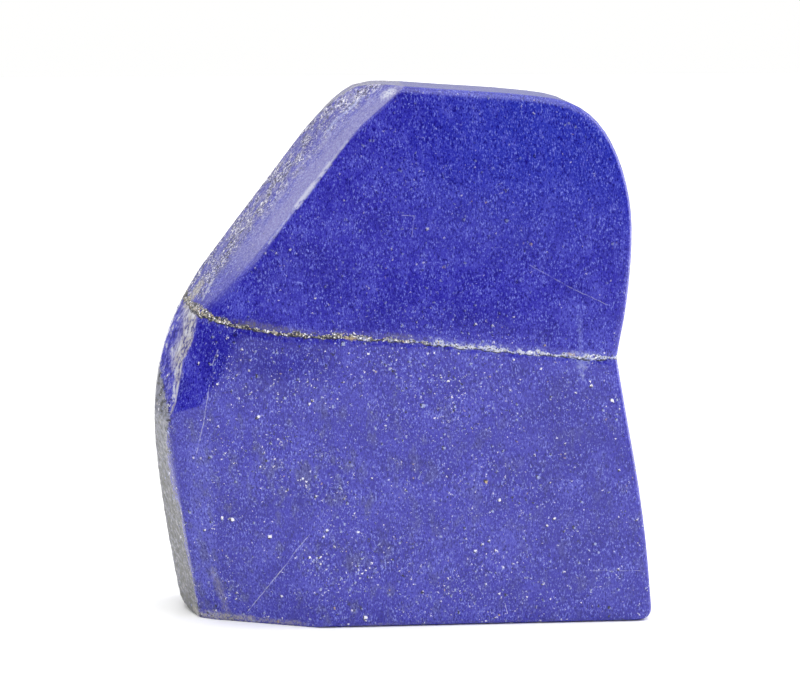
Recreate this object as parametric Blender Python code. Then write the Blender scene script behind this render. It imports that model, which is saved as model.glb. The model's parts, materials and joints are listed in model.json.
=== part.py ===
"""A standing freeform of polished lapis lazuli, one solid stone.

The stone is made the way a lapidary makes it. A slab is sawn to the outline of
the front view, its rims are broken, its two broad faces are lapped to planes
that draw together towards the crown, and the long chamfer and the smaller
facets are then cut one after another. The front faces -Y, the sawn base lies
on z = 0 and the origin is under the middle of the stone.
"""

from math import ceil, cos, dist, radians, sin

import bmesh
import bpy
from mathutils import Vector

# Lengths are in millimetres here and become metres when the mesh is made.
MM = 0.001

# Front view of the stone as (x, z), from the left foot over the crown to the
# crease on the right where the vein crosses the edge.
LEFT_CROWN_RIGHT = (
    (-41.3, 4.2),
    (-43.4, 17.0),
    (-45.0, 31.0),
    (-45.0, 41.5),
    (-42.9, 51.6),
    (-38.7, 60.3),
    (-30.8, 72.2),
    (-21.3, 84.3),
    (-15.2, 91.4),
    (-10.6, 95.6),
    (-5.2, 97.6),
    (8.0, 96.9),
    (21.0, 95.9),
    (29.3, 94.5),
    (34.6, 90.9),
    (38.2, 84.9),
    (40.4, 77.0),
    (40.8, 68.9),
    (39.9, 58.6),
    (38.4, 50.4),
)
# Front view of the right flank, from the crease down to the foot.
RIGHT_FLANK = (
    (38.4, 46.9),
    (40.3, 36.3),
    (42.2, 26.0),
    (43.8, 14.5),
    (44.9, 2.6),
)
CREASE = (38.0, 48.6)
RIGHT_FOOT = (45.1, 0.0)
LEFT_FOOT = (-40.9, 0.0)
RIGHT_FOOT_ROUNDING = 2.9
LEFT_FOOT_ROUNDING = 3.2
OUTLINE_STEP = 3.0
CORNER_STEPS = 4

# The slab: its half depth at the base, and the rim broken all round it.
HALF_DEPTH = 14.2
RIM_BREAK = 1.2
RIM_SEGMENTS = 3

# How the two broad faces are lapped. Past each line, given by a point (x, z) of
# the front view and the heading of the side that is lapped (degrees from +X
# towards +Z), the face leans in by a further angle in degrees. The first fold
# of each face is along its foot; the second one of the front is the vein.
FRONT_FOLDS = (
    ((0.0, 0.0), 90.0, 1.1),
    ((-34.1, 55.7), 84.5, 3.3),
)
BACK_FOLDS = (
    ((0.0, 0.0), 90.0, 3.2),
    ((8.0, 38.0), 320.0, 4.5),
    ((-6.0, 64.0), 115.0, 2.5),
)

# Facets cut after the broad faces. Each has a point it passes through, the
# heading of its outward side in the front view (degrees from +X towards +Z),
# and how far it is turned from that side towards the front (-Y) or, where it
# is negative, towards the back.
FACETS = (
    ("long_chamfer", (-19.3, -11.2, 76.5), 140.5, 30.0),
    ("chamfer_tip", (-10.9, -10.3, 87.8), 131.0, 30.0),
    ("long_edge", (-22.3, -4.4, 79.0), 143.0, 15.0),
    ("shoulder_blend", (-26.3, -12.0, 68.0), 153.5, 57.0),
    ("upper_cheek", (-39.4, -9.8, 49.4), 160.0, 27.0),
    ("front_heel", (-16.0, -13.6, 0.0), 207.0, 65.5),
    ("side_heel", (-31.0, -8.6, 0.0), 205.0, 53.0),
    ("lower_cheek", (-40.2, -7.8, 19.4), 192.0, 21.0),
    ("back_long_chamfer", (-27.8, 3.0, 76.3), 142.0, -31.0),
    ("back_upper_cheek", (-43.6, 3.0, 49.4), 163.0, -27.0),
    ("back_lower_cheek", (-44.6, 3.0, 28.0), 186.0, -24.0),
    ("back_crown", (10.0, 6.6, 96.9), 88.0, -38.0),
    ("back_brow", (36.5, 6.4, 84.0), 28.0, -36.0),
    ("back_flank", (41.6, 11.0, 26.0), 9.0, -40.0),
)

NODE_NAME = "lapis_stone"
STONE_COLOUR = (0.050, 0.043, 0.380, 1.0)
STONE_ROUGHNESS = 0.28
STONE_METALLIC = 0.0


def clear_scene():
    """Remove whatever the opened file holds."""
    for obj in list(bpy.data.objects):
        bpy.data.objects.remove(obj, do_unlink=True)


def smooth_run(points):
    """Return closely spaced points on a smooth curve through the given ones."""
    before = tuple(2 * a - b for a, b in zip(points[0], points[1]))
    after = tuple(2 * a - b for a, b in zip(points[-1], points[-2]))
    chain = (before, *points, after)
    run = [points[0]]
    for p0, p1, p2, p3 in zip(chain, chain[1:], chain[2:], chain[3:]):
        steps = ceil(dist(p1, p2) / OUTLINE_STEP)
        for step in range(1, steps + 1):
            t = step / steps
            run.append(tuple(
                b + 0.5 * t * ((c - a) + t * ((2 * a - 5 * b + 4 * c - d)
                                              + t * (3 * (b - c) + d - a)))
                for a, b, c, d in zip(p0, p1, p2, p3)
            ))
    return run


def rounded_corner(start, corner, end):
    """Return the points between start and end on a curve that rounds the corner."""
    points = []
    for step in range(1, CORNER_STEPS):
        t = step / CORNER_STEPS
        points.append(tuple(
            (1 - t) ** 2 * a + 2 * t * (1 - t) * b + t ** 2 * c
            for a, b, c in zip(start, corner, end)
        ))
    return points


def front_outline():
    """Return the closed outline of the front view as (x, z) points."""
    left_base = (LEFT_FOOT[0] + LEFT_FOOT_ROUNDING, 0.0)
    right_base = (RIGHT_FOOT[0] - RIGHT_FOOT_ROUNDING, 0.0)
    return [
        *smooth_run(LEFT_CROWN_RIGHT),
        *rounded_corner(LEFT_CROWN_RIGHT[-1], CREASE, RIGHT_FLANK[0]),
        *smooth_run(RIGHT_FLANK),
        *rounded_corner(RIGHT_FLANK[-1], RIGHT_FOOT, right_base),
        right_base,
        left_base,
        *rounded_corner(left_base, LEFT_FOOT, LEFT_CROWN_RIGHT[0]),
    ]


def sawn_slab(bm):
    """Make the slab in the outline of the front view, with broken rims."""
    ring = [bm.verts.new((x, -HALF_DEPTH, z)) for x, z in front_outline()]
    front = bm.faces.new(ring)
    pushed = bmesh.ops.extrude_face_region(bm, geom=[front])
    back_verts = [v for v in pushed["geom"] if isinstance(v, bmesh.types.BMVert)]
    bmesh.ops.translate(bm, verts=back_verts, vec=(0.0, 2 * HALF_DEPTH, 0.0))
    bmesh.ops.recalc_face_normals(bm, faces=bm.faces)
    rims = [e for e in bm.edges if abs(e.verts[0].co.y - e.verts[1].co.y) < HALF_DEPTH]
    bmesh.ops.bevel(bm, geom=rims, offset=RIM_BREAK, segments=RIM_SEGMENTS,
                    profile=0.5, affect="EDGES", clamp_overlap=False)


def lap_face(bm, side, folds):
    """Lean the front (side -1) or the back (side 1) in past each of its folds."""
    for (x, z), heading, lean in folds:
        across = Vector((cos(radians(heading)), 0.0, sin(radians(heading))))
        start = Vector((x, 0.0, z))
        bmesh.ops.bisect_plane(bm, geom=[*bm.verts, *bm.edges, *bm.faces],
                               plane_co=start, plane_no=across)
        for vert in bm.verts:
            past = (vert.co - start).dot(across)
            if side * vert.co.y > 0 and past > 0:
                vert.co.y -= side * sin(radians(lean)) * past


def cut_facet(bm, through, heading, turn):
    """Cut one flat facet and close the stone over the cut."""
    facing = Vector((
        cos(radians(heading)) * cos(radians(turn)),
        -sin(radians(turn)),
        sin(radians(heading)) * cos(radians(turn)),
    ))
    cut = bmesh.ops.bisect_plane(bm, geom=[*bm.verts, *bm.edges, *bm.faces],
                                 plane_co=through, plane_no=facing,
                                 clear_outer=True)
    rim = [e for e in cut["geom_cut"] if isinstance(e, bmesh.types.BMEdge)]
    bmesh.ops.contextual_create(bm, geom=rim)


def stone_material():
    """Return the deep ultramarine of the polished stone."""
    material = bpy.data.materials.new("polished_lapis")
    material.use_nodes = True
    shader = material.node_tree.nodes["Principled BSDF"]
    shader.inputs["Base Color"].default_value = STONE_COLOUR
    shader.inputs["Roughness"].default_value = STONE_ROUGHNESS
    shader.inputs["Metallic"].default_value = STONE_METALLIC
    return material


def centre_on_base(bm):
    """Put the middle of the stone's box over the origin and its base on z = 0."""
    lows = [min(v.co[axis] for v in bm.verts) for axis in range(3)]
    highs = [max(v.co[axis] for v in bm.verts) for axis in range(3)]
    middle = [(low + high) / 2 for low, high in zip(lows, highs)]
    bmesh.ops.translate(bm, verts=bm.verts, vec=(-middle[0], -middle[1], -lows[2]))


def make_stone():
    """Build the stone as one closed body."""
    bm = bmesh.new()
    sawn_slab(bm)
    lap_face(bm, -1, FRONT_FOLDS)
    lap_face(bm, 1, BACK_FOLDS)
    for _name, through, heading, turn in FACETS:
        cut_facet(bm, through, heading, turn)
    centre_on_base(bm)
    bmesh.ops.recalc_face_normals(bm, faces=bm.faces)
    bmesh.ops.scale(bm, verts=bm.verts, vec=(MM, MM, MM))
    mesh = bpy.data.meshes.new(NODE_NAME)
    bm.to_mesh(mesh)
    bm.free()
    mesh.materials.append(stone_material())
    stone = bpy.data.objects.new(NODE_NAME, mesh)
    bpy.context.scene.collection.objects.link(stone)
    return stone


clear_scene()
make_stone()
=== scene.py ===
"""Looks of a standing freeform of polished lapis lazuli.

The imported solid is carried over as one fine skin: its ridges are eased as
polishing leaves them, its broad faces swell slightly as hand lapping leaves
them, and the vein is worn in as a shallow gritty groove. Colour, flecks, vein,
host rock and healed cracks are one node material that reads the object's own
space in millimetres, so the pattern runs through the stone from side to side.
"""

import json
import logging
from dataclasses import dataclass, field
from enum import Enum
from math import atan2

import bpy
import numpy as np
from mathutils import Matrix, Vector, noise

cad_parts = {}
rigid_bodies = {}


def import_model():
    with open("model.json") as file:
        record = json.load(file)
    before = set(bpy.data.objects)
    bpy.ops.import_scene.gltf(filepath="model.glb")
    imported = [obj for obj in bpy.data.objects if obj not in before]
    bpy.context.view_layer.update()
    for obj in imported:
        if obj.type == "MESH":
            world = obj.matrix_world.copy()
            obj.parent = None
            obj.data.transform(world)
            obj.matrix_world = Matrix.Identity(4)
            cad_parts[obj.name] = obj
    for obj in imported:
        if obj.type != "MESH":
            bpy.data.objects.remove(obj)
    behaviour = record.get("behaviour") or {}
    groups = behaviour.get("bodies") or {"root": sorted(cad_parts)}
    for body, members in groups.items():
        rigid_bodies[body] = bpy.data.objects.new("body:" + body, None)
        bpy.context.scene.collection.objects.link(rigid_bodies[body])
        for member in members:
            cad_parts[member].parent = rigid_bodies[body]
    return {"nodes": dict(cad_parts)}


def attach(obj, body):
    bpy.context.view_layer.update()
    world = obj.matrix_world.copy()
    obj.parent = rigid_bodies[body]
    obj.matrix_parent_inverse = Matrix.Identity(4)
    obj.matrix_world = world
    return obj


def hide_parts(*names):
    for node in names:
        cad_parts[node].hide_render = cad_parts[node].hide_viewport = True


LOG = logging.getLogger("lapis")
MM = 0.001

Value = float | tuple[float, ...] | bpy.types.NodeSocket


class Graph:
    """Places nodes in a node tree and joins them in short calls.

    A node is placed after the ones that feed it. The renderer works through
    them in that order, and keeps few values at a time that way.
    """

    def __init__(self, tree: bpy.types.NodeTree) -> None:
        """Take over an empty or fresh tree."""
        self.tree = tree

    def node(self, kind: str, **settings: object) -> bpy.types.Node:
        """Add a node.

        Args:
            kind: The node's type name.
            settings: Properties set on the node.

        Returns:
            The new node.
        """
        node = self.tree.nodes.new(kind)
        for name, value in settings.items():
            setattr(node, name, value)
        return node

    def feed(self, socket: bpy.types.NodeSocket, value: Value) -> None:
        """Join an output to a socket, or set the socket's own value.

        Args:
            socket: The input to feed.
            value: An output socket or a constant.
        """
        if isinstance(value, bpy.types.NodeSocket):
            self.tree.links.new(value, socket)
        else:
            socket.default_value = value

    def math(self, operation: str, *values: Value) -> bpy.types.NodeSocket:
        """Do arithmetic on values.

        Args:
            operation: The math node's operation.
            values: Its operands.

        Returns:
            The result.
        """
        node = self.node("ShaderNodeMath", operation=operation)
        for socket, value in zip(node.inputs, values):
            self.feed(socket, value)
        return node.outputs[0]

    def times(self, first: Value, second: Value) -> bpy.types.NodeSocket:
        """Return the product of two values."""
        return self.math("MULTIPLY", first, second)

    def vector(self, operation: str, *values: Value) -> bpy.types.NodeSocket:
        """Do arithmetic on vectors.

        Args:
            operation: The vector math node's operation.
            values: Its operands.

        Returns:
            The result, a value for lengths and dot products.
        """
        node = self.node("ShaderNodeVectorMath", operation=operation)
        sockets = [node.inputs["Scale"] if operation == "SCALE" and i == 1 else node.inputs[i]
                   for i in range(len(values))]
        for socket, value in zip(sockets, values):
            self.feed(socket, value)
        scalar = operation in {"LENGTH", "DISTANCE", "DOT_PRODUCT"}
        return node.outputs["Value" if scalar else "Vector"]

    def ease(self, value: Value, low: Value, high: Value,
             start: Value = 0.0, end: Value = 1.0) -> bpy.types.NodeSocket:
        """Pass smoothly from one result to another.

        Args:
            value: What the result depends on.
            low: Where the result starts to change.
            high: Where it has changed.
            start: The result at and beyond low.
            end: The result at and beyond high.

        Returns:
            The eased value.
        """
        node = self.node("ShaderNodeMapRange", interpolation_type="SMOOTHSTEP")
        for socket, fed in zip(node.inputs, (value, low, high, start, end)):
            self.feed(socket, fed)
        return node.outputs[0]

    def noise(self, place: Value, scale: float, detail: float = 2.0,
              roughness: float = 0.5, colour: bool = False) -> bpy.types.NodeSocket:
        """Add a cloud noise.

        Args:
            place: The point it is read at.
            scale: Its cells to the millimetre.
            detail: Its octaves.
            roughness: How strong the finer octaves are.
            colour: Whether a random colour is wanted rather than a value.

        Returns:
            The noise, from 0 to 1.
        """
        node = self.node("ShaderNodeTexNoise")
        self.feed(node.inputs["Vector"], place)
        node.inputs["Scale"].default_value = scale
        node.inputs["Detail"].default_value = detail
        node.inputs["Roughness"].default_value = roughness
        return node.outputs[1 if colour else 0]

    def spread(self, colour: Value) -> bpy.types.NodeSocket:
        """Turn a random colour into an offset that points any way.

        Args:
            colour: The colour, each channel from 0 to 1.

        Returns:
            The offset, each coordinate from -0.5 to 0.5.
        """
        split = self.node("ShaderNodeSeparateColor")
        self.feed(split.inputs[0], colour)
        joined = self.node("ShaderNodeCombineXYZ")
        for source, target in zip(split.outputs, joined.inputs):
            self.feed(target, source)
        return self.vector("SUBTRACT", joined.outputs[0], (0.5, 0.5, 0.5))

    def shake(self, place: Value, scale: float, detail: float, roughness: float,
              reach: float) -> bpy.types.NodeSocket:
        """Move a point about at random, by up to half the reach each way."""
        offset = self.spread(self.noise(place, scale, detail, roughness, colour=True))
        return self.vector("ADD", place, self.vector("SCALE", offset, reach))

    def blend(self, factor: Value, below: Value, above: Value) -> bpy.types.NodeSocket:
        """Lay one colour over another.

        Args:
            factor: How much of the upper colour shows.
            below: The lower colour.
            above: The upper colour.

        Returns:
            The blended colour.
        """
        node = self.node("ShaderNodeMix", data_type="RGBA")
        self.feed(node.inputs[0], factor)
        for socket, value in ((node.inputs[6], below), (node.inputs[7], above)):
            self.feed(socket, (*value, 1.0) if isinstance(value, tuple) else value)
        return node.outputs[2]

    def steps(self, value: Value, *stops: tuple[float, tuple[float, float, float]],
              hard: bool = False) -> bpy.types.NodeSocket:
        """Read a colour from a ramp.

        Args:
            value: Where the ramp is read, from 0 to 1.
            stops: Places on the ramp and their colours.
            hard: Whether the colours change abruptly.

        Returns:
            The colour.
        """
        node = self.node("ShaderNodeValToRGB")
        ramp = node.color_ramp
        ramp.interpolation = "CONSTANT" if hard else "LINEAR"
        while len(ramp.elements) < len(stops):
            ramp.elements.new(1.0)
        for element, (place, colour) in zip(ramp.elements, stops):
            element.position = place
            element.color = (*colour, 1.0)
        self.feed(node.inputs[0], value)
        return node.outputs[0]

    def profile(self, value: Value, shape: "Profile") -> bpy.types.NodeSocket:
        """Read a measured profile.

        Args:
            value: Where the profile is read, in millimetres.
            shape: The profile.

        Returns:
            The profile's value there, in millimetres.
        """
        (low, high), (bottom, top) = shape.limits()
        share = self.math("DIVIDE", self.math("SUBTRACT", value, low), high - low)
        node = self.node("ShaderNodeFloatCurve")
        curve = node.mapping.curves[0]
        points = shape.unit_points()
        while len(curve.points) < len(points):
            curve.points.new(0.5, 0.5)
        for point, (across, up) in zip(curve.points, points):
            point.location = (across, up)
            point.handle_type = "VECTOR"
        node.mapping.update()
        self.feed(node.inputs["Value"], share)
        return self.math("ADD", self.times(node.outputs[0], top - bottom), bottom)


@dataclass(frozen=True)
class Profile:
    """A line through measured points, straight between them."""

    points: tuple[tuple[float, float], ...]

    def limits(self) -> tuple[tuple[float, float], tuple[float, float]]:
        """Return the lowest and highest place, and the lowest and highest value."""
        across, up = zip(*self.points)
        return (min(across), max(across)), (min(up), max(up))

    def unit_points(self) -> list[tuple[float, float]]:
        """Return the points scaled to run from 0 to 1 both ways."""
        (low, high), (bottom, top) = self.limits()
        return [((a - low) / (high - low), (b - bottom) / (top - bottom)) for a, b in self.points]

    def at(self, places: np.ndarray) -> np.ndarray:
        """Return the profile's values at these places."""
        across, up = zip(*self.points)
        return np.interp(places, across, up)


# The vein's height over the width of the stone, and how its sheet lifts towards
# the back on the left while it stays level in the crease on the right.
VEIN_LINE = Profile((
    (-46.0, 59.3), (-39.7, 57.6), (-36.7, 56.7), (-34.0, 56.0), (-29.7, 55.2), (-24.4, 54.2),
    (-19.0, 53.4), (-10.1, 53.0), (-4.7, 52.6), (0.6, 52.2), (7.8, 51.3), (13.2, 50.7),
    (20.5, 49.9), (27.7, 49.2), (33.1, 48.7), (46.0, 48.5),
))
VEIN_LIFT = 0.0011
VEIN_LEVEL_X = 38.0
VEIN_FRONT_Y = -13.2

# Names of the soft patterns that the skin's own points carry.
UNPOLISHED = "unpolished"
LIT = "light_clouds"
SHADY = "dark_clouds"

# The ridge between the front and the long chamfer, and the one at the chamfer's
# tip, as a point on each and the direction past it in the front view.
CHAMFER_RIDGES = (
    ((-19.3, 0.0, 76.5), (-0.7716, 0.0, 0.6361)),
    ((-10.9, 0.0, 87.8), (-0.6561, 0.0, 0.7547)),
)

# Host rock shows on the left up to this height, just under the vein.
ROCK_TOP = 58.0

# Where the blue ends on the left and where the grey host rock ends, as x over
# the height. Higher up a band of calcite lies between the two.
LOW_EDGE = (
    (0.0, -37.2), (6.2, -38.3), (11.2, -39.2), (14.7, -40.0), (19.3, -40.2), (23.4, -41.4),
    (28.3, -42.6), (33.8, -42.7),
)
HOST_LINE = Profile((
    *LOW_EDGE, (38.8, -42.3), (41.2, -41.2), (45.2, -40.3), (49.3, -39.4), (52.6, -37.8),
    (58.0, -36.8),
))
ROCK_LINE = Profile((
    *LOW_EDGE, (38.0, -42.4), (41.0, -42.6), (44.0, -43.3), (50.0, -44.9), (58.0, -46.5),
))


@dataclass(frozen=True)
class Specks:
    """A shared group that scatters grains through the stone."""

    name: str = "scattered_grains"

    def group(self) -> bpy.types.NodeTree:
        """Build the group.

        Returns:
            The node group, with the grains, a painted shadow beside each grain and a random value
            each.
        """
        tree = bpy.data.node_groups.new(self.name, "ShaderNodeTree")
        for name, kind in (("Place", "NodeSocketVector"), ("Cells", "NodeSocketFloat"),
                           ("Share", "NodeSocketFloat"), ("Size", "NodeSocketFloat")):
            tree.interface.new_socket(name, in_out="INPUT", socket_type=kind)
        for name in ("Core", "Shadow", "Random"):
            tree.interface.new_socket(name, in_out="OUTPUT", socket_type="NodeSocketFloat")
        g = Graph(tree)
        given = g.node("NodeGroupInput").outputs
        place = g.shake(given["Place"], 3.4, 2.0, 0.7, 0.85)
        cells = g.node("ShaderNodeTexVoronoi", feature="F1", distance="CHEBYCHEV")
        g.feed(cells.inputs["Vector"], place)
        g.feed(cells.inputs["Scale"], given["Cells"])
        drawn = g.node("ShaderNodeSeparateColor")
        g.feed(drawn.inputs[0], cells.outputs["Color"])
        kept = g.math("LESS_THAN", drawn.outputs[0], given["Share"])
        radius = g.times(given["Size"], g.math("MULTIPLY_ADD", drawn.outputs[1], 0.65, 0.35))
        core = g.ease(cells.outputs["Distance"], g.times(radius, 0.65), radius, 1.0, 0.0)
        # Painted shadow: a dark crescent beside each grain, round a point set off from its centre
        # to one side.
        shadow_side = g.vector("SCALE", g.spread(cells.outputs["Color"]), 0.55)
        shadow_distance = g.vector("DISTANCE", place, g.vector("ADD", cells.outputs["Position"], shadow_side))
        rim = g.ease(g.times(shadow_distance, given["Cells"]), g.times(radius, 1.2), g.times(radius, 1.9),
                     1.0, 0.0)
        out = g.node("NodeGroupOutput").inputs
        g.feed(out["Core"], g.times(core, kept))
        g.feed(out["Shadow"], g.times(rim, kept))
        g.feed(out["Random"], drawn.outputs[2])
        return tree


@dataclass(frozen=True)
class Streaks:
    """A shared group that draws a soft streak between two points of the stone."""

    name: str = "healed_streak"

    def group(self) -> bpy.types.NodeTree:
        """Build the group.

        Returns:
            The node group, with one mask.
        """
        tree = bpy.data.node_groups.new(self.name, "ShaderNodeTree")
        for name, kind in (("Place", "NodeSocketVector"), ("Start", "NodeSocketVector"),
                           ("Along", "NodeSocketVector"), ("Per Length", "NodeSocketVector"),
                           ("Radius", "NodeSocketFloat"), ("Reach", "NodeSocketFloat")):
            tree.interface.new_socket(name, in_out="INPUT", socket_type=kind)
        tree.interface.new_socket("Mask", in_out="OUTPUT", socket_type="NodeSocketFloat")
        g = Graph(tree)
        given = g.node("NodeGroupInput").outputs
        offset = g.vector("SUBTRACT", given["Place"], given["Start"])
        share = g.math("MAXIMUM", g.vector("DOT_PRODUCT", offset, given["Per Length"]), 0.0)
        share = g.math("MINIMUM", share, 1.0)
        away = g.vector("DISTANCE", offset, g.vector("SCALE", given["Along"], share))
        mask = g.ease(away, given["Radius"], given["Reach"], 1.0, 0.0)
        g.feed(g.node("NodeGroupOutput").inputs["Mask"], mask)
        return tree


@dataclass(frozen=True)
class Streak:
    """One streak, hairline or patch: its ends, its radius and its soft border."""

    start: tuple[float, float, float]
    end: tuple[float, float, float]
    radius: float
    softness: float
    strength: float = 1.0

    def line(self, depth: float) -> tuple[np.ndarray, np.ndarray, np.ndarray]:
        """Return the streak's middle line in a space with the depth scaled.

        Args:
            depth: How much depth counts, less for a sheet that runs inwards.

        Returns:
            Its start, the way to its end, and that way over its own square length.
        """
        flat = np.array((1.0, depth, 1.0))
        start = np.array(self.start) * flat
        along = np.array(self.end) * flat - start
        return start, along, along / (along @ along)

    def mask(self, places: np.ndarray, depth: float) -> np.ndarray:
        """Return how strongly the streak shows at these places.

        Args:
            places: The places in millimetres, one to a row.
            depth: How much their depth counts.

        Returns:
            The strength at each place.
        """
        start, along, per_length = self.line(depth)
        offset = places * (1.0, depth, 1.0) - start
        share = np.clip(offset @ per_length, 0.0, 1.0)
        away = np.linalg.norm(offset - share[:, None] * along, axis=1)
        fade = np.clip(1.0 - (away - self.radius) / self.softness, 0.0, 1.0)
        return self.strength * fade * fade * (3.0 - 2.0 * fade)


class Tint(tuple, Enum):
    """The colours found in the stone, as linear red, green and blue."""

    DARK = (0.005, 0.003, 0.165)
    DEEP = (0.013, 0.009, 0.270)
    BLUE = (0.027, 0.022, 0.370)
    AZURE = (0.018, 0.031, 0.385)
    LIGHT = (0.080, 0.083, 0.500)
    SMOKE = (0.058, 0.060, 0.230)
    CYAN = (0.190, 0.225, 0.640)
    LAVENDER = (0.205, 0.195, 0.400)
    CALCITE = (0.560, 0.575, 0.660)
    FRINGE = (0.330, 0.370, 0.660)
    TAN = (0.380, 0.355, 0.295)
    HOST = (0.150, 0.156, 0.205)
    PALE_HOST = (0.225, 0.231, 0.300)
    OLIVE = (0.092, 0.092, 0.082)
    UMBER = (0.070, 0.060, 0.075)
    GOLD = (0.500, 0.370, 0.210)
    BRIGHT = (0.880, 0.870, 0.960)
    PIT = (0.005, 0.004, 0.020)


HAIRLINES = (
    Streak((-17.5, -13.8, 17.4), (-19.9, -13.6, 14.7), 0.02, 0.09, 0.50),
    Streak((-19.9, -13.6, 14.7), (-23.2, -12.6, 9.9), 0.03, 0.10, 0.60),
    Streak((-23.2, -12.6, 9.9), (-28.6, -8.9, 2.2), 0.02, 0.10, 0.50),
    Streak((-33.6, -12.5, 51.1), (-34.7, -12.7, 48.4), 0.02, 0.09, 0.5),
    Streak((-35.3, -13.3, 44.4), (-36.4, -13.0, 37.7), 0.02, 0.10, 0.60),
    Streak((-36.4, -13.0, 37.7), (-37.7, -11.3, 31.9), 0.02, 0.14, 0.35),
    Streak((-0.6, -11.5, 74.8), (1.5, -11.5, 74.6), 0.01, 0.09, 0.45),
    Streak((1.5, -11.5, 74.6), (1.1, -11.8, 70.9), 0.01, 0.08, 0.3),
    Streak((22.3, -12.0, 65.6), (29.8, -12.3, 61.4), 0.01, 0.12, 0.25),
    Streak((29.8, -12.3, 61.4), (36.4, -12.5, 58.3), 0.01, 0.10, 0.35),
    Streak((33.5, -14.0, 9.7), (42.7, -14.0, 9.5), 0.01, 0.08, 0.35),
    Streak((17.9, -14.1, 4.0), (18.3, -14.1, 2.4), 0.02, 0.09, 0.7),
)
LIGHT_CLOUDS = (
    Streak((-32.3, -10.6, 61.3), (-30.2, -11.6, 58.8), 0.6, 2.6, 0.60),
    Streak((31.0, -12.6, 57.5), (34.5, -12.6, 54.0), 1.0, 5.0, 0.40),
    Streak((-37.0, -11.0, 33.0), (-36.6, -8.5, 7.0), 1.2, 1.8, 0.75),
    Streak((-8.0, -11.0, 85.0), (8.0, -11.0, 79.0), 0.5, 3.5, 0.32),
)
DARK_CLOUDS = (
    Streak((-32.0, -13.0, 51.0), (-18.0, -13.3, 48.5), 2.0, 6.0, 1.00),
    Streak((30.0, -14.0, 34.0), (36.0, -14.0, 8.0), 3.0, 14.0, 0.45),
    Streak((-22.0, -11.8, 66.5), (-12.0, -11.8, 62.0), 2.0, 6.0, 0.45),
    Streak((-6.0, -12.8, 56.5), (14.0, -12.8, 57.5), 1.5, 5.0, 0.35),
)
CALCITE_AND_HIGHLIGHT_PATCHES = (
    Streak((-36.0, -6.6, 59.6), (-34.4, -4.9, 62.6), 0.1, 0.7, 0.7),
    Streak((-41.5, -9.1, 44.6), (-41.4, -10.3, 41.8), 0.2, 0.5, 0.9),
    # A white calcite grain at the chamfer's tip, with a painted highlight on it.
    Streak((-3.4, -8.3, 96.2), (-2.4, -8.6, 96.4), 0.6, 0.9, 0.85),
)
FRINGE_PATCHES = (
    Streak((30.4, -13.2, 49.2), (32.4, -13.2, 48.7), 0.5, 0.9, 0.60),
    Streak((31.5, -13.2, 48.4), (31.7, -13.3, 46.9), 0.2, 1.0, 0.50),
    Streak((31.7, -13.2, 46.9), (31.9, -13.3, 44.9), 0.0, 0.6, 0.40),
    Streak((31.2, -12.6, 56.5), (31.5, -13.0, 50.0), 0.0, 0.7, 0.22),
    Streak((24.4, -12.6, 54.6), (24.6, -13.0, 51.0), 0.0, 0.6, 0.20),
    Streak((-7.4, -4.5, 95.1), (-13.3, -4.5, 89.6), 0.1, 0.7, 0.7),
)
BLUE_PATCHES = (
    Streak((-16.8, -3.2, 86.4), (-11.4, -3.4, 92.2), 0.6, 1.5, 0.85),
    Streak((-19.6, -3.4, 82.6), (-21.0, -4.4, 81.0), 0.5, 1.2, 0.6),
    Streak((-31.5, -9.5, 62.5), (-34.6, -8.5, 58.0), 0.8, 2.6, 0.6),
)
# Painted highlights: pale lines along the long chamfer's ridges, where the narrow polished bevel
# catches the light.
RIDGE_HIGHLIGHTS = (
    Streak((-10.3, -10.5, 87.9), (-13.4, -10.8, 84.0), 0.0, 0.35, 0.35),
    Streak((-13.4, -10.8, 84.0), (-16.4, -10.9, 80.2), 0.10, 0.40, 0.55),
    Streak((-16.4, -10.9, 80.2), (-19.4, -10.9, 76.4), 0.16, 0.42, 0.65),
    Streak((-19.4, -10.9, 76.4), (-24.4, -11.5, 70.0), 0.0, 0.35, 0.35),
)
BUFF_PATCHES = (
    Streak((-38.6, -1.8, 58.2), (-36.8, -1.4, 61.2), 0.9, 1.0, 0.90),
    Streak((-38.1, -2.7, 1.0), (-34.5, -6.2, 0.9), 0.4, 0.9, 0.80),
    Streak((-34.5, -6.2, 0.8), (-28.2, -8.7, 0.6), 0.3, 0.8, 0.75),
    Streak((-28.2, -8.7, 0.6), (-19.3, -12.4, 0.6), 0.1, 0.7, 0.55),
    Streak((-19.3, -12.4, 0.6), (-2.0, -14.1, 0.4), 0.0, 0.6, 0.35),
    Streak((-34.9, -7.9, 9.6), (-32.2, -7.3, 1.7), 0.1, 1.0, 0.28),
)
UMBER_PATCHES = (
    Streak((-31.0, -13.0, 55.9), (-27.2, -13.1, 55.6), 0.3, 0.8, 0.85),
    Streak((-25.6, -13.1, 55.3), (-21.5, -13.1, 54.7), 0.1, 0.8, 0.6),
    Streak((-3.6, -13.1, 53.4), (0.6, -13.1, 53.1), 0.1, 0.8, 0.6),
)
GOLD_GRAINS = (
    Streak((-10.8, -13.1, 53.0), (-9.2, -13.1, 52.8), 0.05, 0.4, 0.8),
    Streak((29.2, -13.1, 49.6), (30.3, -13.1, 49.4), 0.05, 0.35, 0.7),
)


def vein_lift(x: np.ndarray, y: np.ndarray) -> np.ndarray:
    """Return how far the vein's sheet stands above its line on the front, in millimetres."""
    return VEIN_LIFT * (y - VEIN_FRONT_Y) * (VEIN_LEVEL_X - x)


@dataclass(frozen=True)
class Spot:
    """The shaded point in millimetres, whole and as its three coordinates."""

    place: Value
    x: Value
    y: Value
    z: Value


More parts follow.
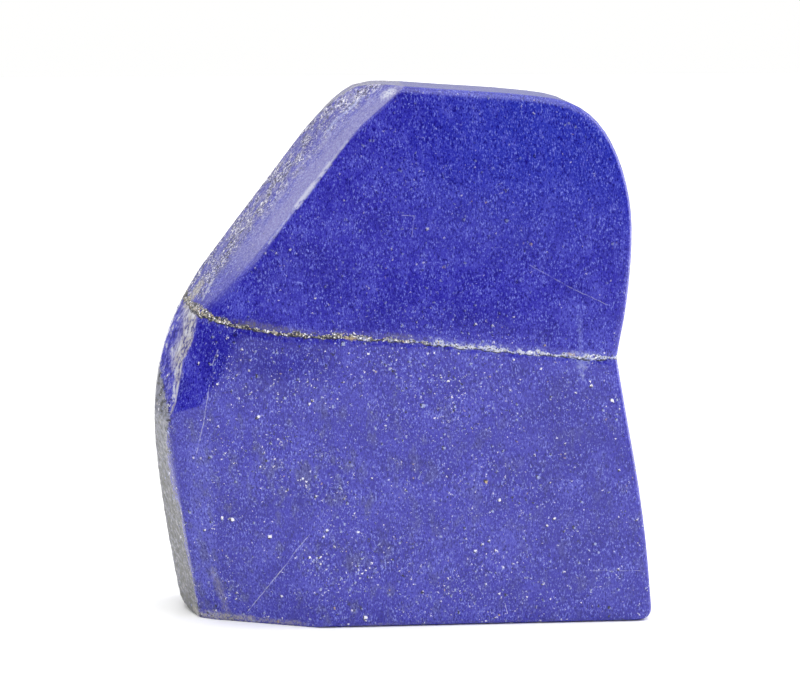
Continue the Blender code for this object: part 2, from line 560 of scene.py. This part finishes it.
@dataclass(frozen=True)
class LapisFinish:
    """Polished lapis lazuli, as one material in millimetres."""

    name: str = "polished_lapis_lazuli"
    roughness: float = 0.16
    refraction: float = 1.53
    grain_height: float = 0.08
    grain_strength: float = 0.35
    parts: dict[str, bpy.types.NodeTree] = field(default_factory=dict)

    def specks(self, g: Graph, place: Value, cells: float, share: Value,
               size: Value) -> bpy.types.NodeSocketCollection:
        """Scatter grains.

        Args:
            g: The material's graph.
            place: The point they are read at.
            cells: How many places for a grain there are to the millimetre.
            share: The share of those places that holds one.
            size: The largest radius, in places.

        Returns:
            The outputs Core, Rim and Random.
        """
        node = g.node("ShaderNodeGroup", node_tree=self.parts["specks"])
        for name, value in (("Place", place), ("Cells", cells), ("Share", share), ("Size", size)):
            g.feed(node.inputs[name], value)
        return node.outputs

    def streaks(self, g: Graph, place: Value, runs: tuple[Streak, ...],
                depth: float = 1.0) -> bpy.types.NodeSocket:
        """Draw several streaks as one mask.

        Args:
            g: The material's graph.
            place: The point they are read at.
            runs: The streaks.
            depth: How much their depth counts, less for sheets that run inwards.

        Returns:
            The strongest of their masks.
        """
        mask: Value = 0.0
        place = g.vector("MULTIPLY", place, (1.0, depth, 1.0))
        for run in runs:
            node = g.node("ShaderNodeGroup", node_tree=self.parts["streaks"])
            start, along, per_length = run.line(depth)
            for name, value in (("Place", place), ("Start", start), ("Along", along),
                                ("Per Length", per_length), ("Radius", run.radius),
                                ("Reach", run.radius + run.softness)):
                g.feed(node.inputs[name], value)
            mask = g.math("MAXIMUM", mask, g.times(node.outputs[0], run.strength))
        return mask

    def grained(self, g: Graph, place: Value, x: float, z: float,
                stretch: float) -> bpy.types.NodeSocket:
        """Stretch space along a direction of the front view, for a streaky pattern.

        Args:
            g: The material's graph.
            place: The point in millimetres.
            x: The direction's first coordinate.
            z: The direction's third coordinate.
            stretch: How many times longer the pattern gets.

        Returns:
            The point in the stretched space.
        """
        node = g.node("ShaderNodeMapping", vector_type="TEXTURE")
        g.feed(node.inputs["Vector"], place)
        node.inputs["Rotation"].default_value = (0.0, atan2(x, z), 0.0)
        node.inputs["Scale"].default_value = (1.0, 1.0, stretch)
        return node.outputs[0]

    def blue_body(self, g: Graph, spot: Spot) -> bpy.types.NodeSocket:
        """Mix the ultramarine ground.

        Args:
            g: The material's graph.
            spot: The shaded point.

        Returns:
            The ground's colour.
        """
        place, z = spot.place, spot.z
        cloud = g.noise(place, 0.17, 5.0, 0.66)
        ground = g.steps(cloud, (0.28, Tint.DEEP), (0.50, Tint.BLUE), (0.86, Tint.LIGHT))
        lit = g.node("ShaderNodeAttribute", attribute_name=LIT).outputs["Fac"]
        ground = g.blend(g.times(lit, g.ease(cloud, 0.3, 0.6, 0.5, 1.0)), ground, Tint.LIGHT)
        shady = g.node("ShaderNodeAttribute", attribute_name=SHADY).outputs["Fac"]
        ground = g.blend(g.times(shady, g.ease(cloud, 0.7, 0.4, 0.5, 1.0)), ground, Tint.DEEP)
        purer = g.times(g.ease(z, 58.0, 90.0), g.ease(spot.x, -12.0, 22.0))
        ground = g.blend(g.times(purer, 0.75), ground, Tint.AZURE)
        swing = g.ease(z, 50.0, 60.0, 0.40, 1.0)
        smears = g.noise(self.grained(g, place, 0.0, 1.0, 4.5), 0.55, 3.0, 0.7)
        ground = g.blend(g.times(swing, g.ease(smears, 0.54, 0.72, 0.0, 0.45)), ground, Tint.LIGHT)
        upright = self.grained(g, place, 0.0, 1.0, 3.2)
        streaky = g.noise(upright, 1.25, 3.0, 0.78)
        ground = g.blend(g.times(swing, g.ease(streaky, 0.53, 0.74, 0.0, 0.80)), ground,
                         Tint.LIGHT)
        ground = g.blend(g.times(swing, g.ease(streaky, 0.48, 0.28, 0.0, 0.80)), ground, Tint.DEEP)
        smoky = g.noise(self.grained(g, place, 0.0, 1.0, 1.9), 0.36, 4.0, 0.7)
        smoky = g.times(g.ease(smoky, 0.50, 0.64, 0.0, 0.80), g.ease(z, 50.0, 36.0))
        smoky = g.times(smoky, g.ease(spot.x, -16.0, 16.0, 1.0, 0.55))
        ground = g.blend(smoky, ground, Tint.SMOKE)
        grain = g.noise(self.grained(g, place, 0.0, 1.0, 2.0), 3.7, 1.5, 0.9)
        shine = g.ease(g.noise(place, 0.30, 2.0), 0.38, 0.62, 0.45, 1.0)
        ground = g.blend(g.times(shine, g.ease(grain, 0.54, 0.70, 0.0, 0.95)), ground, Tint.CYAN)
        return g.blend(g.ease(grain, 0.49, 0.33), ground, Tint.DARK)

    def left_side(self, g: Graph, spot: Spot, ground: Value) -> tuple[Value, Value, Value]:
        """Lay host rock and streaky calcite on the left side.

        Args:
            g: The material's graph.
            spot: The shaded point.
            ground: The colour below.

        Returns:
            The colour, the mask of the host rock and the mask of its border.
        """
        place, x, z = spot.place, spot.x, spot.z
        fine = g.noise(place, 1.25, 4.0, 0.70)
        drawn_out = self.grained(g, place, 0.15, 0.99, 2.6)
        streaky = g.noise(drawn_out, 0.95, 4.0, 0.70)
        ragged = g.times(g.math("SUBTRACT", g.noise(drawn_out, 0.8, 4.0, 0.65), 0.5), 1.8)
        edge = g.math("ADD", g.math("SUBTRACT", g.profile(z, HOST_LINE), x), ragged)
        rock_edge = g.math("ADD", g.math("SUBTRACT", g.profile(z, ROCK_LINE), x), ragged)
        below_vein = g.ease(z, ROCK_TOP + 0.6, ROCK_TOP - 1.0)
        cheek = g.times(g.ease(edge, -0.1, 0.4), below_vein)
        mixed = g.math("MULTIPLY_ADD", g.math("SUBTRACT", fine, 0.5), 1.0, streaky)
        mottled = g.steps(mixed, (0.34, Tint.DARK), (0.46, Tint.BLUE), (0.56, Tint.LIGHT),
                          (0.64, Tint.LAVENDER), (0.80, Tint.CALCITE))
        colour = g.blend(g.times(cheek, 0.9), ground, mottled)
        width = g.ease(z, 43.0, 50.0, 0.5, 3.0)
        crust = g.times(cheek, g.ease(edge, g.times(width, 1.15), g.times(width, 0.45)))
        crust = g.times(crust, g.ease(mixed, 0.32, 0.54, 0.15, 0.90))
        crusty = g.steps(streaky, (0.34, Tint.PALE_HOST), (0.46, Tint.TAN), (0.64, Tint.CALCITE))
        colour = g.blend(crust, colour, crusty)
        rock = g.steps(fine, (0.34, Tint.PIT), (0.41, Tint.OLIVE), (0.49, Tint.HOST),
                       (0.58, Tint.PALE_HOST), (0.68, Tint.TAN))
        yellowed = g.times(g.ease(z, 42.0, 22.0, 0.0, 0.85),
                           g.ease(streaky, 0.36, 0.56, 0.25, 1.0))
        rock = g.blend(g.times(yellowed, g.ease(fine, 0.62, 0.50)), rock, Tint.OLIVE)
        skin = g.times(g.ease(rock_edge, -0.05, 0.35), below_vein)
        rim = g.times(g.ease(rock_edge, -0.7, -0.1), g.ease(rock_edge, 0.9, 0.2))
        rim = g.times(rim, below_vein)
        colour = g.blend(skin, colour, rock)
        pitted = g.ease(fine, 0.50, 0.40)
        colour = g.blend(g.times(g.times(rim, pitted), 0.7), colour, Tint.PIT)
        return colour, skin, rim

    def chamfer(self, g: Graph, spot: Spot, ground: Value) -> tuple[Value, Value]:
        """Dust the long chamfer, paint a pale sheen of light over its inner band by the ridge, and
        weather its outer band.

        Args:
            g: The material's graph.
            spot: The shaded point.
            ground: The colour below.

        Returns:
            The colour, and the mask of the outer band.
        """
        place, y, z = spot.place, spot.y, spot.z
        past = [g.vector("DOT_PRODUCT", g.vector("SUBTRACT", place, ridge), outward)
                for ridge, outward in CHAMFER_RIDGES]
        facet = g.times(g.ease(g.math("MAXIMUM", *past), 0.0, 0.3), g.ease(z, 58.6, 60.0))
        drawn_out = self.grained(g, place, 0.633, 0.774, 2.4)
        streaky = g.noise(drawn_out, 0.62, 4.0, 0.66)
        mottle = g.noise(place, 2.5, 2.0, 1.0)
        inner = g.ease(y, -6.2, -8.6)
        # Pale lavender: streaks of dust, and over the inner band a painted sheen for the light the
        # polished chamfer reflects, sharp at the ridge.
        dust_and_sheen = g.math("MAXIMUM", g.ease(streaky, 0.36, 0.60, 0.10, 0.75), g.times(inner, 0.75))
        dust_and_sheen = g.times(g.times(facet, dust_and_sheen), g.ease(z, 62.0, 72.0, 0.15, 1.0))
        colour = g.blend(dust_and_sheen, ground, Tint.LAVENDER)
        outer = g.times(facet, g.ease(y, -6.6, -4.6))
        shade = g.times(outer, g.ease(streaky, 0.58, 0.44, 0.0, 0.75))
        colour = g.blend(shade, colour, Tint.BLUE)
        strong = g.times(facet, g.ease(inner, 0.0, 1.0, 1.0, 0.70))
        light = g.times(strong, g.ease(mottle, 0.53, 0.64, 0.0, 0.55))
        colour = g.blend(light, colour, Tint.FRINGE)
        dark = g.times(strong, g.ease(mottle, 0.47, 0.36, 0.0, 0.75))
        colour = g.blend(dark, colour, Tint.DEEP)
        edge = g.times(facet, g.ease(y, -7.2, -3.2))
        clumps = g.noise(place, 0.33, 3.0, 0.6)
        crumbs = g.noise(place, 1.6, 3.0, 1.0)
        crusty = g.times(edge, g.ease(clumps, 0.41, 0.53, 0.15, 1.0))
        for low, high, tint in ((0.47, 0.45, Tint.OLIVE), (0.44, 0.42, Tint.PIT),
                                (0.53, 0.56, Tint.TAN), (0.56, 0.59, Tint.BRIGHT)):
            shown = g.times(crusty, g.ease(crumbs, low, high, 0.0, 0.97))
            colour = g.blend(shown, colour, tint)
        return colour, g.times(outer, g.ease(clumps, 0.42, 0.58, 0.3, 1.0))

    def vein(self, g: Graph, spot: Spot, ground: Value) -> tuple[Value, Value]:
        """Run the vein through the stone.

        Args:
            g: The material's graph.
            spot: The shaded point.
            ground: The colour below.

        Returns:
            The colour, and the mask of the vein's filling.
        """
        place, x, z = spot.place, spot.x, spot.z
        depth = g.math("SUBTRACT", spot.y, VEIN_FRONT_Y)
        rightward = g.math("SUBTRACT", VEIN_LEVEL_X, x)
        lift = g.times(g.times(depth, rightward), VEIN_LIFT)
        wander = g.times(g.math("SUBTRACT", g.noise(place, 0.65, 3.0, 0.65), 0.5), 1.3)
        off = g.math("SUBTRACT", z, g.math("ADD", g.profile(x, VEIN_LINE), lift))
        off = g.math("ADD", off, wander)
        uneven = g.noise(place, 0.42, 3.0, 0.65)
        height = g.times(g.ease(x, -38.0, -30.0, 1.20, 0.62),
                         g.ease(uneven, 0.34, 0.64, 0.25, 1.6))
        under = g.times(g.ease(x, -38.0, -26.0, 0.60, 0.20), g.ease(uneven, 0.34, 0.64, 0.6, 1.3))
        inside = g.times(g.ease(off, g.times(height, 0.6), height, 1.0, 0.0),
                         g.ease(off, g.times(under, -1.3), g.times(under, -0.8)))
        shaken = g.shake(place, 2.4, 2.0, 0.5, 0.4)
        grains = g.node("ShaderNodeTexVoronoi", feature="F1")
        g.feed(grains.inputs["Vector"], shaken)
        grains.inputs["Scale"].default_value = 4.2
        drawn = g.node("ShaderNodeSeparateColor")
        g.feed(drawn.inputs[0], grains.outputs["Color"])
        grit = g.steps(drawn.outputs[0], (0.0, Tint.PIT), (0.42, Tint.OLIVE), (0.60, Tint.TAN),
                       (0.86, Tint.GOLD), (0.90, Tint.BRIGHT), hard=True)
        milky = g.noise(place, 1.6, 3.0, 0.7)
        fringe = g.blend(g.ease(milky, 0.40, 0.60), Tint.FRINGE, Tint.CALCITE)
        patchy = g.times(g.math("SUBTRACT", uneven, 0.5), 60.0)
        rightwards = g.ease(g.math("ADD", x, patchy), -10.0, 14.0)
        filling = g.blend(g.times(rightwards, g.ease(drawn.outputs[1], 0.66, 0.72, 1.0, 0.0)),
                          grit, fringe)
        sparse = g.ease(milky, 0.34, 0.50)
        shown = g.times(inside, g.ease(rightwards, 0.0, 1.0, g.ease(milky, 0.26, 0.42), sparse))
        around = g.times(g.ease(g.math("ABSOLUTE", off), 1.9, 0.2),
                         g.ease(milky, 0.44, 0.56, 0.0, 0.85))
        around = g.times(around, g.ease(uneven, 0.44, 0.62, 0.15, 1.0))
        around = g.times(around, g.ease(rightwards, 0.0, 1.0, 1.0, 0.6))
        stain = g.blend(rightwards, Tint.UMBER, Tint.FRINGE)
        ground = g.blend(g.times(around, g.ease(off, -0.9, 0.0, 0.25, 1.0)), ground, stain)
        colour = g.blend(shown, ground, filling)
        crack = g.math("ABSOLUTE", g.math("ADD", off, g.times(under, 0.9)))
        dark = g.times(g.ease(crack, 0.04, 0.20, 1.0, 0.0),
                       g.ease(g.noise(place, 1.1, 2.0), 0.38, 0.48))
        colour = g.blend(g.times(dark, 0.92), colour, Tint.PIT)
        return colour, inside

    def pyrite(self, g: Graph, spot: Spot, crowded: Value,
               ground: Value) -> tuple[Value, Value]:
        """Scatter pyrite flecks, each with a dark crescent of painted shadow beside it.

        Args:
            g: The material's graph.
            spot: The shaded point.
            crowded: The mask of the places where they lie closer.
            ground: The colour below.

        Returns:
            The colour and the mask of the flecks.
        """
        place, x, z = spot.place, spot.x, spot.z
        gathered = g.noise(place, 0.12, 3.0, 0.6)
        dense = g.times(g.ease(z, 66.0, 42.0, 0.40, 1.0), g.ease(gathered, 0.38, 0.60, 0.35, 1.4))
        dense = g.times(dense, g.ease(x, -36.0, -34.6, 0.25, 1.0))
        dense = g.times(dense, g.ease(x, 8.0, 34.0, 1.0, 0.45))
        dense = g.math("ADD", dense, g.times(crowded, 2.2))
        colour, cores = ground, 0.0
        bold = g.ease(z, 68.0, 46.0, 0.55, 1.0)
        for cells, share, size, shift in ((2.8, 0.22, 0.35, 31.0), (1.60, 0.10, 0.38, 0.0),
                                          (1.05, 0.03, 0.36, 57.0)):
            node = self.specks(g, g.vector("ADD", place, (shift, 0.0, -shift)), cells,
                               g.times(dense, share), size)
            # The flecks' colours: gold and pale grains, the whitest of them partly painted glints
            # of light on the pyrite.
            fleck_and_glint = g.steps(node["Random"], (0.0, Tint.BRIGHT), (0.30, Tint.FRINGE),
                            (0.92, Tint.GOLD), (0.95, Tint.PIT), hard=True)
            # Painted shadow: the dark crescent beside each fleck.
            shaded = g.times(node["Shadow"], 0.95)
            colour = g.blend(g.times(shaded, bold), colour, Tint.PIT)
            colour = g.blend(g.times(node["Core"], bold), colour, fleck_and_glint)
            cores = g.math("MAXIMUM", node["Core"], cores)
        return colour, cores

    def build(self) -> bpy.types.Material:
        """Build the material.

        Returns:
            The finished material.
        """
        self.parts["specks"] = Specks().group()
        self.parts["streaks"] = Streaks().group()
        material = bpy.data.materials.new(self.name)
        material.use_nodes = True
        g = Graph(material.node_tree)
        shader = material.node_tree.nodes["Principled BSDF"]
        own_space = g.node("ShaderNodeTexCoord").outputs["Object"]
        scaled = g.node("ShaderNodeMapping")
        g.feed(scaled.inputs["Vector"], own_space)
        scaled.inputs["Scale"].default_value = (1.0 / MM, 1.0 / MM, 1.0 / MM)
        place = scaled.outputs[0]
        split = g.node("ShaderNodeSeparateXYZ")
        g.feed(split.inputs[0], place)
        spot = Spot(place, *split.outputs)
        shaken = g.shake(place, 1.4, 3.0, 0.65, 1.5)
        nudged = g.shake(place, 1.4, 3.0, 0.65, 0.35)

        colour = self.blue_body(g, spot)
        colour, skin, rim = self.left_side(g, spot, colour)
        colour, outer = self.chamfer(g, spot, colour)
        patchy = g.ease(g.noise(place, 2.2, 3.0, 0.8), 0.40, 0.56, 0.15, 1.0)
        # The calcite patches include a painted highlight on the grain at the chamfer's tip.
        for patches, tint in ((BLUE_PATCHES, Tint.DEEP), (CALCITE_AND_HIGHLIGHT_PATCHES, Tint.CALCITE),
                              (FRINGE_PATCHES, Tint.FRINGE), (BUFF_PATCHES, Tint.TAN),
                              (UMBER_PATCHES, Tint.UMBER)):
            mask = g.times(self.streaks(g, shaken, patches), patchy)
            colour = g.blend(mask, colour, tint)
        colour, seam = self.vein(g, spot, colour)
        grains = g.times(self.streaks(g, nudged, GOLD_GRAINS), patchy)
        colour = g.blend(grains, colour, Tint.GOLD)
        broken = g.ease(g.noise(place, 1.2, 2.0), 0.36, 0.50, 0.35, 1.0)
        # Healed hairline cracks in calcite white, and the painted highlights along the chamfer's
        # ridges in the same colour.
        for lines in (HAIRLINES, RIDGE_HIGHLIGHTS):
            mask = g.times(self.streaks(g, nudged, lines, 0.15), broken)
            colour = g.blend(mask, colour, Tint.CALCITE)
        colour, cores = self.pyrite(g, spot, g.math("MAXIMUM", outer, rim), colour)

        g.feed(shader.inputs["Base Color"], colour)
        dull = g.math("MAXIMUM", seam, g.times(skin, 0.7))
        polish = g.noise(place, 0.9, 3.0, 0.6)
        rough = g.ease(polish, 0.3, 0.7, self.roughness * 0.8, self.roughness * 1.3)
        g.feed(shader.inputs["Roughness"], g.math("MULTIPLY_ADD", dull, 0.30, rough))
        g.feed(shader.inputs["Metallic"], g.times(cores, 0.3))
        shader.inputs["IOR"].default_value = self.refraction
        crumbly = g.noise(place, 2.2, 3.0, 0.6)
        unpolished = g.node("ShaderNodeAttribute", attribute_name=UNPOLISHED)
        bump = g.node("ShaderNodeBump")
        bump.inputs["Strength"].default_value = self.grain_strength
        bump.inputs["Distance"].default_value = self.grain_height * MM
        g.feed(bump.inputs["Height"], g.times(unpolished.outputs["Fac"], crumbly))
        g.feed(shader.inputs["Normal"], bump.outputs[0])
        return material


@dataclass(frozen=True)
class Swell:
    """A low rise or hollow that hand lapping left on a broad face."""

    x: float
    z: float
    half_width: float
    half_height: float
    rise: float

    def lift(self, x: np.ndarray, z: np.ndarray) -> np.ndarray:
        """Return how far the face stands proud at these places."""
        across, up = (x - self.x) / self.half_width, (z - self.z) / self.half_height
        return self.rise * np.exp(-across ** 2 - up ** 2)


FRONT_SWELLS = (
    Swell(9.0, 55.0, 17.0, 8.0, 0.22),
    Swell(12.0, 82.0, 26.0, 12.0, 0.30),
    Swell(-21.0, 44.0, 11.0, 6.0, 0.40),
)
BACK_SWELLS = (
    Swell(-6.0, 50.0, 26.0, 24.0, 0.35),
    Swell(24.0, 26.0, 16.0, 14.0, -0.18),
)


@dataclass
class Stone:
    """The one stone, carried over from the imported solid."""

    node: str = "lapis_stone"
    name: str = "lapis_freeform"
    slot: str = "lapis_lazuli"
    skin_step: float = 0.42
    ridge_passes: int = 1
    blend_passes: int = 90
    heel_ridge: tuple[tuple[float, ...], ...] = ((-40.3, -11.4, 31.0), (-16.0, -13.6, 0.5))
    shoulder_ridge: tuple[tuple[float, ...], ...] = ((-30.5, -12.4, 60.0), (-34.0, -12.6, 50.5))
    blend_reach: float = 7.0
    vein_depth: float = 0.22
    rock_grain: float = 0.10
    foot_margin: float = 0.5
    most_triangles: int = 190_000
    finish: LapisFinish = field(default_factory=LapisFinish)

    def copy_solid(self) -> bpy.types.Object:
        """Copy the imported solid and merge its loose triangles.

        Returns:
            The copy, free of its body.
        """
        bpy.ops.object.select_all(action="DESELECT")
        source = bpy.data.objects[FRAME["nodes"][self.node].name]
        source.select_set(True)
        bpy.context.view_layer.objects.active = source
        bpy.ops.object.duplicate()
        piece = bpy.context.view_layer.objects.active
        piece.name = self.name
        piece.data.name = self.name
        bpy.ops.object.parent_clear(type="CLEAR_KEEP_TRANSFORM")
        bpy.ops.object.transform_apply(location=True, rotation=True, scale=True)
        piece.data.materials.clear()
        bpy.ops.object.mode_set(mode="EDIT")
        bpy.ops.mesh.select_all(action="SELECT")
        bpy.ops.mesh.remove_doubles(threshold=1e-6)
        bpy.ops.mesh.normals_make_consistent(inside=False)
        bpy.ops.object.mode_set(mode="OBJECT")
        return piece

    def modify(self, piece: bpy.types.Object, kind: str, **settings: object) -> None:
        """Add a modifier and apply it at once.

        Args:
            piece: The object.
            kind: The modifier's type.
            settings: Properties set on the modifier.
        """
        modifier = piece.modifiers.new(kind.lower(), kind)
        for name, value in settings.items():
            setattr(modifier, name, value)
        bpy.ops.object.modifier_apply(modifier=modifier.name)

    def points(self, piece: bpy.types.Object) -> tuple[np.ndarray, np.ndarray]:
        """Return the vertices' places and normals, places in millimetres."""
        count = len(piece.data.vertices)
        places = np.empty(count * 3)
        normals = np.empty(count * 3)
        piece.data.vertices.foreach_get("co", places)
        piece.data.vertices.foreach_get("normal", normals)
        return places.reshape(-1, 3) / MM, normals.reshape(-1, 3)

    def mark_blends(self, piece: bpy.types.Object) -> None:
        """Put the vertices near the soft ridges in a group, stronger the nearer.

        Args:
            piece: The object.
        """
        places, _normals = self.points(piece)
        weight = np.zeros(len(places))
        for start, end in (self.heel_ridge, self.shoulder_ridge):
            a, b = np.array(start), np.array(end)
            share = np.clip((places - a) @ (b - a) / ((b - a) @ (b - a)), 0.0, 1.0)
            away = np.linalg.norm(places - a - share[:, None] * (b - a), axis=1)
            weight = np.maximum(weight, np.clip(1.6 - 1.6 * away / self.blend_reach, 0.0, 1.0))
        weight *= np.clip((places[:, 2] - 0.4) / 2.0, 0.0, 1.0)
        group = piece.vertex_groups.new(name="soft_ridges")
        for level in range(1, 11):
            chosen = np.nonzero(np.round(weight * 10) == level)[0]
            group.add(chosen.tolist(), level / 10, "REPLACE")

    def wear(self, piece: bpy.types.Object) -> None:
        """Lift the lapping swells, and sink the vein and roughen the host rock.

        Args:
            piece: The object.
        """
        places, normals = self.points(piece)
        x, y, z = places.T
        front = np.clip(-normals[:, 1], 0.0, 1.0) ** 2
        back = np.clip(normals[:, 1], 0.0, 1.0) ** 2
        rise = front * sum(swell.lift(x, z) for swell in FRONT_SWELLS)
        rise += back * sum(swell.lift(x, z) for swell in BACK_SWELLS)
        off = z - VEIN_LINE.at(x) - vein_lift(x, y)
        broad = np.interp(x, (-38.0, -8.0), (0.95, 0.55))
        near = np.nonzero(np.abs(off) < 3.0)[0]
        for index in near:
            point = Vector(places[index])
            shifted = off[index] + 0.35 * noise.noise(point * 0.9)
            groove = np.exp(-(shifted / broad[index]) ** 2)
            grit = 0.55 + 0.9 * noise.noise(point * 1.7)
            rise[index] -= self.vein_depth * groove * grit
        rock = HOST_LINE.at(z) - x
        for index in np.nonzero((rock > -0.5) & (z < ROCK_TOP) & (z > 1.0))[0]:
            point = Vector(places[index])
            share = min(1.0, (rock[index] + 0.5) / 1.0)
            rise[index] += self.rock_grain * share * noise.fractal(point * 0.8, 1.0, 2.0, 3)
        rise *= np.clip((z - self.foot_margin) / 3.0, 0.0, 1.0)
        moved = (places + normals * rise[:, None]) * MM
        piece.data.vertices.foreach_set("co", moved.ravel())
        piece.data.update()

    def mark_patterns(self, piece: bpy.types.Object) -> None:
        """Store where the skin stays rough, in the vein and on the rock, and the soft clouds.

        Args:
            piece: The object.
        """
        places, _normals = self.points(piece)
        x, y, z = places.T
        off = z - VEIN_LINE.at(x) - vein_lift(x, y)
        seam = np.exp(-(off / np.interp(x, (-38.0, -8.0), (1.0, 0.5))) ** 2)
        rock = np.clip(ROCK_LINE.at(z) - x + 0.5, 0.0, 1.0) * (z < ROCK_TOP)
        clouds = [np.max([run.mask(places, 0.15) for run in runs], axis=0)
                  for runs in (LIGHT_CLOUDS, DARK_CLOUDS)]
        for name, mask in zip((UNPOLISHED, LIT, SHADY), (np.maximum(seam, 0.6 * rock), *clouds)):
            layer = piece.data.attributes.new(name, "FLOAT", "POINT")
            layer.data.foreach_set("value", mask)

    def build(self) -> bpy.types.Object:
        """Build the stone's skin and dress it.

        Returns:
            The finished piece.
        """
        piece = self.copy_solid()
        solid = bpy.data.objects[FRAME["nodes"][self.node].name]
        self.modify(piece, "REMESH", mode="VOXEL", voxel_size=self.skin_step * MM)
        self.modify(piece, "SHRINKWRAP", target=solid, wrap_method="NEAREST_SURFACEPOINT")
        self.modify(piece, "SMOOTH", factor=0.5, iterations=self.ridge_passes)
        self.mark_blends(piece)
        self.modify(piece, "SMOOTH", factor=0.5, iterations=self.blend_passes,
                    vertex_group="soft_ridges")
        self.wear(piece)
        triangles = 2 * len(piece.data.polygons)
        if triangles > self.most_triangles:
            self.modify(piece, "DECIMATE", ratio=self.most_triangles / triangles)
        self.mark_patterns(piece)
        bpy.ops.object.shade_smooth()
        piece.data.materials.append(self.finish.build())
        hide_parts(self.node)
        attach(piece, "root")
        LOG.info("%s: %d triangles", piece.name,
                 sum(len(p.vertices) - 2 for p in piece.data.polygons))
        return piece


@dataclass(frozen=True)
class Glow:
    """A soft patch of light on the walls of the tent."""

    towards: tuple[float, float, float]
    inner: float
    outer: float
    strength: float


@dataclass
class Studio:
    """A pale floor in a white light tent that is open towards the camera."""

    floor_reach: float = 1.6
    floor_colour: tuple[float, float, float] = (0.98, 0.98, 0.98)
    wall: float = 0.65
    ceiling: float = 2.10
    opening: float = 0.06
    seen: tuple[float, float, float, float] = (1.0, 1.0, 0.995, 1.0)
    glows: tuple[Glow, ...] = (
        Glow((-0.76, 0.35, 0.54), 0.985, 0.93, 1.1),
        Glow((0.10, -0.50, 0.86), 0.96, 0.72, 1.8),
    )
    box_at: tuple[float, float, float] = (0.34, 0.06, 0.14)
    box_size: tuple[float, float] = (0.28, 0.44)
    box_power: float = 1.1
    lens: float = 122.6
    sensor: float = 36.0
    camera_at: tuple[float, float, float] = (-0.0430, -0.4920, 0.1291)
    look_at: tuple[float, float, float] = (0.0, 0.0, 0.0509)

    def lay_floor(self) -> bpy.types.Object:
        """Lay the floor.

        Returns:
            The floor.
        """
        bpy.ops.object.select_all(action="DESELECT")
        bpy.ops.mesh.primitive_plane_add(size=2 * self.floor_reach)
        floor = bpy.context.active_object
        floor.name = "floor"
        material = bpy.data.materials.new("pale_floor")
        material.use_nodes = True
        shader = material.node_tree.nodes["Principled BSDF"]
        shader.inputs["Base Color"].default_value = (*self.floor_colour, 1.0)
        shader.inputs["Roughness"].default_value = 0.9
        shader.inputs["Specular IOR Level"].default_value = 0.1
        floor.data.materials.append(material)
        return floor

    def light_tent(self) -> bpy.types.World:
        """Light the walls of the tent, and show them plain to the camera.

        Returns:
            The world.
        """
        world = bpy.data.worlds.new("light_tent")
        bpy.context.scene.world = world
        world.use_nodes = True
        world.node_tree.nodes.clear()
        g = Graph(world.node_tree)
        ray = g.node("ShaderNodeTexCoord").outputs["Generated"]
        split = g.node("ShaderNodeSeparateXYZ")
        g.feed(split.inputs[0], ray)
        rising = g.math("MAXIMUM", split.outputs[2], 0.0)
        tent = g.math("MULTIPLY_ADD", g.times(rising, rising), self.ceiling - self.wall, self.wall)
        frontward = g.ease(split.outputs[1], -0.15, -0.45)
        upward = g.times(g.ease(split.outputs[2], -0.035, 0.045),
                         g.ease(split.outputs[2], 0.55, 0.33))
        dim = g.times(frontward, upward)
        light = g.math("ADD", g.times(tent, g.math("SUBTRACT", 1.0, dim)),
                       g.times(dim, self.opening))
        for glow in self.glows:
            towards = Vector(glow.towards).normalized()
            facing = g.vector("DOT_PRODUCT", ray, tuple(towards))
            light = g.math("ADD", light, g.ease(facing, glow.outer, glow.inner,
                                                0.0, glow.strength))
        walls = g.node("ShaderNodeBackground")
        g.feed(walls.inputs["Strength"], light)
        plain = g.node("ShaderNodeBackground")
        plain.inputs["Color"].default_value = self.seen
        mix = g.node("ShaderNodeMixShader")
        g.feed(mix.inputs[0], g.node("ShaderNodeLightPath").outputs["Is Camera Ray"])
        g.feed(mix.inputs[1], walls.outputs[0])
        g.feed(mix.inputs[2], plain.outputs[0])
        g.feed(g.node("ShaderNodeOutputWorld").inputs[0], mix.outputs[0])
        return world

    def hang_softbox(self) -> bpy.types.Object:
        """Hang a softbox on the right, which draws a light line along the right rim.

        Returns:
            The softbox.
        """
        data = bpy.data.lights.new("softbox", "AREA")
        data.shape = "RECTANGLE"
        data.size, data.size_y = self.box_size
        data.energy = self.box_power
        softbox = bpy.data.objects.new("softbox", data)
        bpy.context.scene.collection.objects.link(softbox)
        softbox.location = self.box_at
        sight = Vector(self.look_at) - Vector(self.box_at)
        softbox.rotation_euler = sight.to_track_quat("-Z", "Y").to_euler()
        return softbox

    def place_camera(self) -> bpy.types.Object:
        """Place the camera at the photograph's viewing angle.

        Returns:
            The camera.
        """
        data = bpy.data.cameras.new("camera")
        data.lens = self.lens
        data.sensor_width = self.sensor
        data.clip_start = 0.01
        camera = bpy.data.objects.new("camera", data)
        bpy.context.scene.collection.objects.link(camera)
        camera.location = self.camera_at
        sight = Vector(self.look_at) - Vector(self.camera_at)
        camera.rotation_euler = sight.to_track_quat("-Z", "Y").to_euler()
        bpy.context.scene.camera = camera
        return camera

    def build(self) -> None:
        """Set up the floor, the light, the camera and the plain rendering of colour."""
        self.lay_floor()
        self.light_tent()
        self.hang_softbox()
        self.place_camera()
        bpy.context.scene.view_settings.view_transform = "Standard"


def main() -> None:
    """Build the stone and the studio."""
    logging.basicConfig(level=logging.INFO, format="%(message)s")
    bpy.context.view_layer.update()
    stone = Stone().build()
    LOG.info("%s built", stone.name)
    Studio().build()


if __name__ == "__main__":
    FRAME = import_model()
    main()
